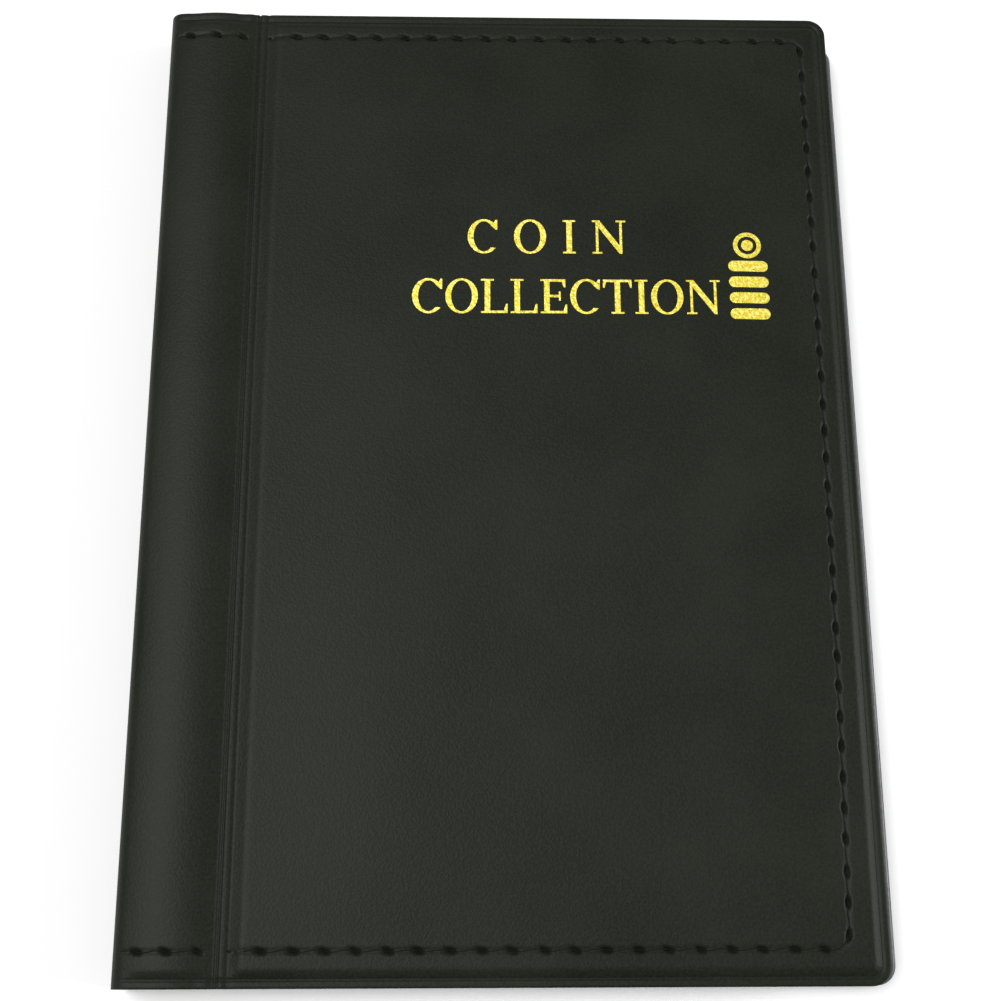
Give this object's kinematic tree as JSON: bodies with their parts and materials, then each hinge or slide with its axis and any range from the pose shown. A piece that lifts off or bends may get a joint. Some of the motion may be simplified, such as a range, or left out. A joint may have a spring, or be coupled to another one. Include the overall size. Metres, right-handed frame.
{
  "type": "coin album",
  "caption": "Closed pocket coin album with padded leatherette covers, a stitched edge, creased hinges, gold foil title and clear pocket leaves bound at the spine.",
  "frame": {"origin": "under the middle of the closed album, on the surface that its back cover lies on", "axes": "+X from the spine to the free edge, +Y up the page along the spine, +Z out of the front cover"},
  "size_m": [0.127, 0.176, 0.0115],
  "materials": {
    "leatherette": "matte",
    "lining_sheet": "matte",
    "white_foam": "matte",
    "grey_board": "matte",
    "clear_film": "gloss",
    "spacer_card": "matte",
    "rivet_steel": "satin",
    "black_thread": "satin",
    "gold_foil": "satin"
  },
  "bodies": {
    "binding": {"spine_cover": "leatherette", "spine_lining": "lining_sheet", "front_strip_board": "grey_board", "back_strip_board": "grey_board", "front_strip_padding": "white_foam", "back_strip_padding": "white_foam", "rivets": "rivet_steel", "leaf_01_stub": "clear_film", "leaf_02_stub": "clear_film", "leaf_03_stub": "clear_film", "leaf_04_stub": "clear_film", "leaf_05_stub": "clear_film", "leaf_06_stub": "clear_film", "leaf_07_stub": "clear_film", "leaf_08_stub": "clear_film", "leaf_09_stub": "clear_film", "leaf_10_stub": "clear_film", "spacer_01": "spacer_card", "spacer_02": "spacer_card", "spacer_03": "spacer_card", "spacer_04": "spacer_card", "spacer_05": "spacer_card", "spacer_06": "spacer_card", "spacer_07": "spacer_card", "spacer_08": "spacer_card", "spacer_09": "spacer_card", "spine_stitching": "black_thread"},
    "front_cover": {"front_cover_skin": "leatherette", "front_cover_foam": "white_foam", "front_cover_board": "grey_board", "front_cover_lining": "lining_sheet", "front_cover_stitching": "black_thread", "title_foil": "gold_foil", "device_foil": "gold_foil"},
    "back_cover": {"back_cover_skin": "leatherette", "back_cover_foam": "white_foam", "back_cover_board": "grey_board", "back_cover_lining": "lining_sheet", "back_cover_stitching": "black_thread"},
    "leaf_01": {"leaf_01_backing": "clear_film", "leaf_01_pockets": "clear_film"},
    "leaf_02": {"leaf_02_backing": "clear_film", "leaf_02_pockets": "clear_film"},
    "leaf_03": {"leaf_03_backing": "clear_film", "leaf_03_pockets": "clear_film"},
    "leaf_04": {"leaf_04_backing": "clear_film", "leaf_04_pockets": "clear_film"},
    "leaf_05": {"leaf_05_backing": "clear_film", "leaf_05_pockets": "clear_film"},
    "leaf_06": {"leaf_06_backing": "clear_film", "leaf_06_pockets": "clear_film"},
    "leaf_07": {"leaf_07_backing": "clear_film", "leaf_07_pockets": "clear_film"},
    "leaf_08": {"leaf_08_backing": "clear_film", "leaf_08_pockets": "clear_film"},
    "leaf_09": {"leaf_09_backing": "clear_film", "leaf_09_pockets": "clear_film"},
    "leaf_10": {"leaf_10_backing": "clear_film", "leaf_10_pockets": "clear_film"}
  },
  "joints": [
    {"name": "front_cover_hinge", "type": "hinge", "parent": "binding", "child": "front_cover", "pos_m": [-0.0458, 0, 0.0116], "axis": [0, -1, 0], "range_deg": [0, 178]},
    {"name": "back_cover_hinge", "type": "hinge", "parent": "binding", "child": "back_cover", "pos_m": [-0.0458, 0, -0.0007], "axis": [0, 1, 0], "range_deg": [0, 178]},
    {"name": "leaf_01_hinge", "type": "hinge", "parent": "binding", "child": "leaf_01", "pos_m": [-0.0395, 0, 0.00797], "axis": [0, -1, 0], "range_deg": [0, 130]},
    {"name": "leaf_02_hinge", "type": "hinge", "parent": "binding", "child": "leaf_02", "pos_m": [-0.0382, 0, 0.00741], "axis": [0, -1, 0], "range_deg": [0, 126]},
    {"name": "leaf_03_hinge", "type": "hinge", "parent": "binding", "child": "leaf_03", "pos_m": [-0.0369, 0, 0.00685], "axis": [0, -1, 0], "range_deg": [0, 122]},
    {"name": "leaf_04_hinge", "type": "hinge", "parent": "binding", "child": "leaf_04", "pos_m": [-0.0356, 0, 0.00629], "axis": [0, -1, 0], "range_deg": [0, 118]},
    {"name": "leaf_05_hinge", "type": "hinge", "parent": "binding", "child": "leaf_05", "pos_m": [-0.0343, 0, 0.00573], "axis": [0, -1, 0], "range_deg": [0, 114]},
    {"name": "leaf_06_hinge", "type": "hinge", "parent": "binding", "child": "leaf_06", "pos_m": [-0.0343, 0, 0.00517], "axis": [0, -1, 0], "range_deg": [0, 36]},
    {"name": "leaf_07_hinge", "type": "hinge", "parent": "binding", "child": "leaf_07", "pos_m": [-0.0343, 0, 0.00461], "axis": [0, -1, 0], "range_deg": [0, 30]},
    {"name": "leaf_08_hinge", "type": "hinge", "parent": "binding", "child": "leaf_08", "pos_m": [-0.0343, 0, 0.00405], "axis": [0, -1, 0], "range_deg": [0, 24]},
    {"name": "leaf_09_hinge", "type": "hinge", "parent": "binding", "child": "leaf_09", "pos_m": [-0.0343, 0, 0.00349], "axis": [0, -1, 0], "range_deg": [0, 18]},
    {"name": "leaf_10_hinge", "type": "hinge", "parent": "binding", "child": "leaf_10", "pos_m": [-0.0343, 0, 0.00293], "axis": [0, -1, 0], "range_deg": [0, 12]}
  ],
  "couplings": [
    {"joint": "leaf_01_hinge", "follows": "front_cover_hinge", "ratio": 0.7303},
    {"joint": "leaf_02_hinge", "follows": "front_cover_hinge", "ratio": 0.7078},
    {"joint": "leaf_03_hinge", "follows": "front_cover_hinge", "ratio": 0.6853},
    {"joint": "leaf_04_hinge", "follows": "front_cover_hinge", "ratio": 0.6629},
    {"joint": "leaf_05_hinge", "follows": "front_cover_hinge", "ratio": 0.6404},
    {"joint": "leaf_06_hinge", "follows": "front_cover_hinge", "ratio": 0.2022},
    {"joint": "leaf_07_hinge", "follows": "front_cover_hinge", "ratio": 0.1685},
    {"joint": "leaf_08_hinge", "follows": "front_cover_hinge", "ratio": 0.1348},
    {"joint": "leaf_09_hinge", "follows": "front_cover_hinge", "ratio": 0.1011},
    {"joint": "leaf_10_hinge", "follows": "front_cover_hinge", "ratio": 0.0674}
  ]
}
